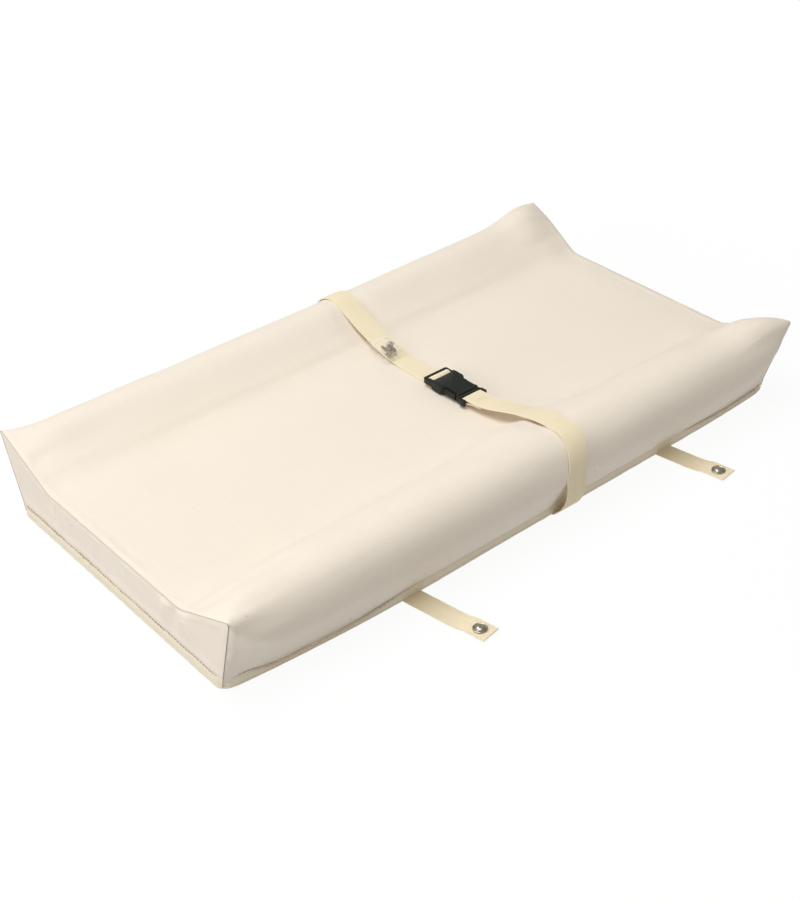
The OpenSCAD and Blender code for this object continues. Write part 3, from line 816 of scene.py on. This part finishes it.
def belt_half(name, path, mirror, lean=0.0, roll=0.0, bow=0.0):
    """A belt half along path, as [y, z]; lean shifts its foot, roll and bow shape its slack part."""
    runs = run_lengths(path)
    count = round(runs[-1] / (rib_pitch / 2))
    at = np.linspace(0, runs[-1], count + 1)
    line = np.stack([np.interp(at, runs, path[:, k]) for k in (0, 1)], axis=1)
    line[:, 1] = np.maximum(line[:, 1], floor_lie)
    ahead = np.gradient(line, axis=0)
    ahead /= np.linalg.norm(ahead, axis=1)[:, None]
    wander = [0.0005 * noise.noise(Vector((a * 14, mirror, 0))) for a in at]
    over = max(range(len(line)), key=lambda k: line[k, 1])
    wander = [w - lean * ease((a - at[over]) / 0.07) for w, a in zip(wander, at)]
    wander = [w + bow * bell(y, 0.115, 0.036) * (z > 0.065) for w, (y, z) in zip(wander, line)]
    spine = [(belt_x + w, mirror * y, z) for (y, z), w in zip(line, wander)]
    upward = [Vector((0, -mirror * t[1], t[0])) for t in ahead]
    turns = [roll * bell(abs(y), 0.118, 0.028) * (z > 0.07) for y, z in line]
    sideways = [Vector((1, 0, 0)) * math.cos(r) - u * math.sin(r) for r, u in zip(turns, upward)]
    upward = [u * math.cos(r) + Vector((1, 0, 0)) * math.sin(r) for r, u in zip(turns, upward)]
    bm = bmesh.new()
    sweep(bm, spine, sideways, upward, webbing_section(belt_width, webbing_thick), webbing_swell)
    strap = finished(name, bm, webbing, sharp=60)
    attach(strap, "pad")
    return strap


# Both routes, in millimetres as [y, z], run from the buckle over the bolster to the sewn end under the base.
strap_r, out = 35, 209.0
far_route = ([(3, 62.6), (30, 62.6), (60, 62.6), (76, 63.6), (100, 68), (125, 75), (150, 84), (168, 91.5)]
             + circle_points((196, 66), strap_r, 118, -26, 16)
             + [(220, 33), (out + 1.6, 14), (out + 0.3, 8), (out, 3.4), (out - 0.1, 1.8), (out - 0.4, 1),
                (out - 1.2, 0.7), (out - 3, 0.7), (out - 12, 0.7), (out - 35, 0.7), (135, 0.7)])
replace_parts(belt_half("belt_far_webbing", spline(far_route, 6), 1), "belt_far")
plug_loop = circle_points((48.5, 69.3), 2.4, -75, -285, 15)
near_route = ([(76, 70.7), (70, 70.5), (64, 70), (57, 68.2), (52, 67.1)] + plug_loop
              + [(56, 71.9), (70, 72.2), (90, 74.2), (112, 79.2), (140, 89.6), (160, 97.2), (176, 100.6)]
              + circle_points((196, 66.3), strap_r, 99, -14, 14)
              + [(231, 44), (229, 29), (222.5, 15), (215, 6.5), (210.6, 2.2), (206, 0.7), (185, 0.7),
                 (160, 0.7), (135, 0.7)])
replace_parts(belt_half("belt_near_webbing", spline(near_route, 6), -1, lean=0.011, roll=0.12, bow=0.0075),
            "belt_near")

# The panels' seam thread, laid along the seams found above.
hexagon = [(0.00042 * math.cos(a), 0.00030 * math.sin(a)) for a in (math.tau * k / 6 for k in range(6))]
corner_thread, _, _, _ = surface("corner_thread", 0.8, (0.34, 0.28, 0.17))
trough_thread, _, _, _ = surface("trough_thread", 0.8, (0.60, 0.52, 0.40))
for name, mat in (("corner_seam_thread", corner_thread), ("trough_seam_thread", trough_thread)):
    bm = bmesh.new()
    for part in seam_paths[name]:
        spine = [co + normal * 0.0001 for co, normal in part]
        ahead = [(b - a).normalized() for a, b in zip([spine[0], *spine[:-1]], [*spine[1:], spine[-1]])]
        sweep(bm, spine, [t.cross(n) for t, (_, n) in zip(ahead, part)], [n for _, n in part], hexagon)
    seam_sewing = finished(name, bm, mat)
    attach(seam_sewing, "pad")

# Three rows of stitches that close the loop round the plug's bar.
bm = bmesh.new()
for row in (-0.0676, -0.0640, -0.0614):
    for k in range(9):
        x0 = belt_x - 0.0095 + k * 0.0021
        z0 = 0.07315 + max(0, -row - 0.060) * 0.05
        stitch(bm, (x0, row, z0), (x0 + 0.0016, row + 0.0002 * (k % 2), z0))
loop_sewing = finished("plug_loop_sewing", bm, thread_mat)
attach(loop_sewing, "pad")
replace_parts(loop_sewing, "plug_loop_stitch")

# ---------------------------------------------------------------------------------------------------
# Side-release buckle: an acetal socket with a ladder bar that the far webbing turns round, and a plug
# with two springy prongs whose pads show in the socket's side windows.
plastic, nodes, links, shader = surface("buckle_acetal", 0.42, (0.012, 0.014, 0.012))
where = nodes.new("ShaderNodeTexCoord").outputs["Object"]
grain = speckle(nodes, links, where, 2600, 2)
flow = speckle(nodes, links, where, 180, 3, (1, 0.25, 1))
relief(nodes, links, shader, flow, 0.00012, relief(nodes, links, shader, grain, 0.00003))
links.new(maths(nodes, links, "MULTIPLY_ADD", flow, 0.22, 0.32), shader.inputs["Roughness"])
shader.inputs["Specular IOR Level"].default_value = 0.22
rub = nodes.new("ShaderNodeNewGeometry").outputs["Pointiness"]
links.new(tint(nodes, links, rub, (0.010, 0.012, 0.010), (0.036, 0.040, 0.034), 0.52, 0.66),
          shader.inputs["Base Color"])
for node, body, edge in (("buckle_socket", "buckle_socket", 0.0007), ("buckle_plug", "pad", 0.0005),
                         ("prong_left", "prong_left", 0.0006), ("prong_right", "prong_right", 0.0006)):
    part = refined(node, edge, 3, plastic)
    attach(part, body)

# The far webbing's turn round the socket's bar.
bar_y, buckle_z = 0.0077, 0.0693
turns = [math.tau * k / 26 for k in range(26)]
bm = bmesh.new()
sweep(bm, [(belt_x, bar_y + 0.0053 * math.cos(a), buckle_z + 0.0046 * math.sin(a)) for a in turns],
      [(1, 0, 0)] * len(turns), [(0, math.cos(a), math.sin(a)) for a in turns],
      webbing_section(belt_width - 0.001, webbing_thick), 0.00008, ring=True)
bar_turn = finished("adjuster_turn", bm, webbing, sharp=60)
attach(bar_turn, "buckle_socket")
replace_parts(bar_turn, "adjuster_loop")

# ---------------------------------------------------------------------------------------------------
# Anchor straps: narrower webbing tacked under the base, each with a nickel snap at its free end that
# presses onto a stud screwed to the furniture. The cap is domed inside a rolled rim.
nickel, nodes, links, shader = surface("nickel_plate", 0.3, (0.50, 0.47, 0.42))
where = nodes.new("ShaderNodeTexCoord").outputs["Object"]
smudge = speckle(nodes, links, where, 420, 4)
links.new(maths(nodes, links, "MULTIPLY_ADD", smudge, 0.20, 0.22), shader.inputs["Roughness"])
relief(nodes, links, shader, speckle(nodes, links, where, 700, 1), 0.000008)
links.new(tint(nodes, links, smudge, (0.36, 0.33, 0.28), (0.56, 0.53, 0.47)), shader.inputs["Base Color"])
shader.inputs["Metallic"].default_value = 1


def turned(bm, profile, steps=40):
    """Spins a profile of [radius, height] about Z into a closed turned part."""
    rim = [bm.verts.new((r, 0, h)) for r, h in profile]
    edges = [bm.edges.new(pair) for pair in zip(rim, rim[1:])]
    bmesh.ops.spin(bm, geom=rim + edges, cent=(0, 0, 0), axis=(0, 0, 1), angle=math.tau, steps=steps,
                   use_merge=True)
    bmesh.ops.remove_doubles(bm, verts=bm.verts[:], dist=1e-6)
    bmesh.ops.recalc_face_normals(bm, faces=bm.faces[:])


anchor_width, anchor_root, snap_inset = 0.025, 0.060, 0.014
binding_reach, hinge_gap = 0.003, 0.0012
cap_profile = [(0, 0), (7.0, 0), (7.6, 0.15), (8.0, 0.6), (7.95, 1.1), (7.6, 1.45), (7.1, 1.5),
               (6.6, 1.3), (6.25, 0.9), (6.05, 0.75), (5.85, 0.95), (5.6, 1.5), (5.1, 2.1), (4.3, 2.6),
               (3.2, 3.0), (1.8, 3.2), (0, 3.28)]
socket_profile = [(3.9, 0), (5.2, 0), (5.6, 0.3), (5.6, 2.0), (6.4, 2.1), (6.6, 2.4), (6.5, 2.85),
                  (6.1, 3.0), (0, 3.0), (0, 2.6), (3.7, 2.6), (3.9, 2.4), (4.1, 1.6), (3.9, 0.8), (3.9, 0)]
anchor_ends = []


def frayed_end(name, tip, ahead, sideways, body):
    """Short loose threads where a strap was cut across."""
    bm = bmesh.new()
    for k in range(16):
        root = tip + sideways * mix(-0.0117, 0.0117, k / 15)
        stray = Vector([noise.noise(root * 900 + Vector((0, 0, shift))) for shift in (3, 11, 19)])
        stitch(bm, root, root + ahead * (0.0014 + 0.0024 * abs(stray.x)) + sideways * 0.0012 * stray.y
               + Vector((0, 0, 0.0006 * stray.z)), 0.00013)
    ends = finished(name, bm, thread_mat)
    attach(ends, body)


for side, root_x, slant, free in (("left", -0.173, 9.5, 106), ("right", 0.213, 9, 86)):
    body = "anchor_strap_" + side
    slant = math.radians(slant)
    hinge_y = -(corner_width + side_bow * (1 - (root_x / half_length) ** 4) + binding_reach + hinge_gap)
    rise = spline([(0, 0.7), (-20, 0.7), (50 - free, 0.7), (36 - free, 1.8), (26 - free, 3.7),
                   (12 - free, 3.7), (-12 - free, 3.7)], 8)
    spine = []
    for d in np.arange(-anchor_root, free / 1000 + 1e-6, rib_pitch / 2):
        height = np.interp(-d * math.cos(slant), rise[::-1, 0], rise[::-1, 1])
        spine.append((root_x + d * math.sin(slant), hinge_y - d * math.cos(slant), max(height, floor_lie)))
    slopes = np.gradient(np.array(spine), axis=0)
    slopes /= np.linalg.norm(slopes, axis=1)[:, None]
    onward = Vector((math.sin(slant), -math.cos(slant), 0))
    sideways = Vector((math.cos(slant), math.sin(slant), 0))
    upward = [Vector(s).cross(sideways) for s in slopes]
    bm = bmesh.new()
    outline = webbing_section(anchor_width, webbing_thick)
    sweep(bm, spine, [sideways] * len(spine), upward, outline, webbing_swell)
    strap = finished(body + "_webbing", bm, webbing, sharp=60)
    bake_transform(strap)
    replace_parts(strap, "anchor_root_" + side, "anchor_strap_" + side)
    frayed_end(body + "_fray", Vector(spine[-1]), onward, sideways, body)
    snap_spot = Matrix.Translation(Vector((root_x, hinge_y, 0)) + onward * (free / 1000 - snap_inset))
    for node, profile, base in (("snap_cap_", cap_profile, 4.6), ("snap_socket_", socket_profile, 0)):
        bm = bmesh.new()
        turned(bm, [(r / 1000, (h + base) / 1000) for r, h in profile])
        bmesh.ops.transform(bm, matrix=snap_spot, verts=bm.verts[:])
        metal = finished(node + side + "_metal", bm, nickel, sharp=50)
        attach(metal, body)
        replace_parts(metal, node + side)
    anchor_ends.append((root_x, hinge_y, slant))

# Bar tacks: dense zigzags of thread through the webbing's hidden ends.
bm = bmesh.new()
belt_tack_y, inward = 0.149, 0.052
tack_spots = [(belt_x, belt_tack_y, 0), (belt_x - 0.010, -belt_tack_y, 0)]
tack_spots += [(rx - inward * math.sin(s), hy + inward * math.cos(s), s) for rx, hy, s in anchor_ends]
for tx, ty, slant in tack_spots:
    spot = Matrix.Translation((tx, ty, 0.0002)) @ Matrix.Rotation(slant, 4, "Z")
    for row in (-0.0032, 0.0032):
        for k in range(30):
            x0 = -0.0087 + k * 0.0006
            ends_of = [Vector((x0, row - 0.0007, 0)), Vector((x0 + 0.0003, row + 0.0007, 0))]
            stitch(bm, *[spot @ end for end in ends_of], 0.00018)
tacks = finished("bar_tack_thread", bm, thread_mat)
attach(tacks, "pad")
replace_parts(tacks, "bar_tacks")

# ---------------------------------------------------------------------------------------------------
# Hardware packet: a small crinkled clear bag that lies on the belt with the two spare studs inside.
# Each stud is a snap post turned in one piece with its wood screw.
packet_slope = math.radians(15.5)
packet_spot = Matrix.Translation((belt_x - 0.006, 0.099, 0.0704)) @ Matrix.Rotation(packet_slope, 4, "X")
stud_profile = [(0, -3.8), (2.6, -3.8), (3.5, -3.55), (3.8, -3.1), (3.5, -2.4), (3.3, -1.9),
                (3.6, -1.3), (5.1, -1.2), (5.4, -0.8), (5.2, -0.1), (4.6, 0.1), (2.4, 0.1), (1.9, 0.5)]
for k in range(8):
    stud_profile += [(1.45, 1.2 + 1.1 * k), (2.05, 1.75 + 1.1 * k)]
stud_profile += [(1.3, 10.4), (0.9, 11.8), (0, 13)]
for name, spot, angle in (("screw_stud_a", (-5.4, -9.4, 6.1), 8), ("screw_stud_b", (3.2, -2.2, 6.2), 176)):
    bm = bmesh.new()
    turned(bm, [(r / 1000, h / 1000) for r, h in stud_profile], 28)
    lay = Matrix.Rotation(math.radians(angle), 4, "Z") @ Matrix.Rotation(math.radians(-90), 4, "X")
    lay = packet_spot @ Matrix.Translation(Vector(spot) / 1000) @ lay
    bmesh.ops.transform(bm, matrix=lay, verts=bm.verts[:])
    stud = finished(name + "_metal", bm, nickel, sharp=50)
    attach(stud, "hardware_packet")
    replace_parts(stud, name)

film_mat, nodes, links, shader = surface("packet_film", 0.12, (0.97, 0.96, 0.92))
where = nodes.new("ShaderNodeTexCoord").outputs["Object"]
# The film's white is its own faint haze plus painted reflection: it turns more opaque towards grazing angles
# and along crinkle ridges, as painted highlights where a clear film would only reflect light.
fold = speckle(nodes, links, where, 75, 1)
painted_highlight_ridge = maths(nodes, links, "ABSOLUTE", maths(nodes, links, "SUBTRACT", fold, 0.5))
line = tint(nodes, links, painted_highlight_ridge, (1, 1, 1), (0, 0, 0), 0.0, 0.02)
painted_grazing_reflection = nodes.new("ShaderNodeLayerWeight")
painted_grazing_reflection.inputs["Blend"].default_value = 0.35
seen = maths(nodes, links, "MULTIPLY_ADD", painted_grazing_reflection.outputs["Facing"], 0.24, 0.05)
links.new(maths(nodes, links, "MULTIPLY_ADD", line, 0.12, seen), shader.inputs["Alpha"])
relief(nodes, links, shader, fold, 0.00015)
shader.inputs["Specular IOR Level"].default_value = 0.9
shader.inputs["Coat Weight"].default_value = 0.6
film_width, film_length, film_columns, film_rows = 0.0315, 0.0415, 40, 52


def film_point(i, j, lid):
    """Point of the bag's upper side, where lid is 1, or of its underside, where it is -1."""
    u, v = 2 * i / film_columns - 1, 2 * j / film_rows - 1
    edge = min(1 - abs(u), 1 - abs(v))
    full_u, full_v = u + 0.12 * (1 - u * u), v + 0.22 * (1 - v * v)
    crown = ease((1 - abs(full_u)) / 0.70) ** 0.8 * ease((1 - abs(full_v)) / 0.62) ** 0.8
    spot = Vector((u * 4.2, v * 5.0, lid * 3))
    crush = noise.noise(spot) + 0.5 * noise.noise(spot * 2.3)
    sharp = abs(noise.noise(spot * 1.3 + Vector((9, 2, 4))))
    if lid > 0:
        height = 0.0011 + 0.0112 * crown + (0.0013 * crush - 0.0016 * sharp) * min(edge * 3, 1)
    else:
        height = 0.0009 + 0.0003 * crush * min(edge * 4, 1)
    height += 0.0006 * noise.noise(Vector((u * 5, v * 6, 3))) * (1 - min(edge * 5, 1))
    return packet_spot @ Vector((u * film_width / 2, v * film_length / 2, height))


bm = bmesh.new()
for lid in (1, -1):
    patch(bm, film_columns, film_rows, lambda i, j: film_point(i, j, lid),
          lambda i, j: (i * 0.0008, j * 0.0008), 0)
bmesh.ops.remove_doubles(bm, verts=[v for v in bm.verts if v.is_boundary], dist=0.0003)
bmesh.ops.recalc_face_normals(bm, faces=bm.faces[:])
bag = finished("hardware_packet_film", bm, film_mat)
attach(bag, "hardware_packet")
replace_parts(bag, "hardware_packet")
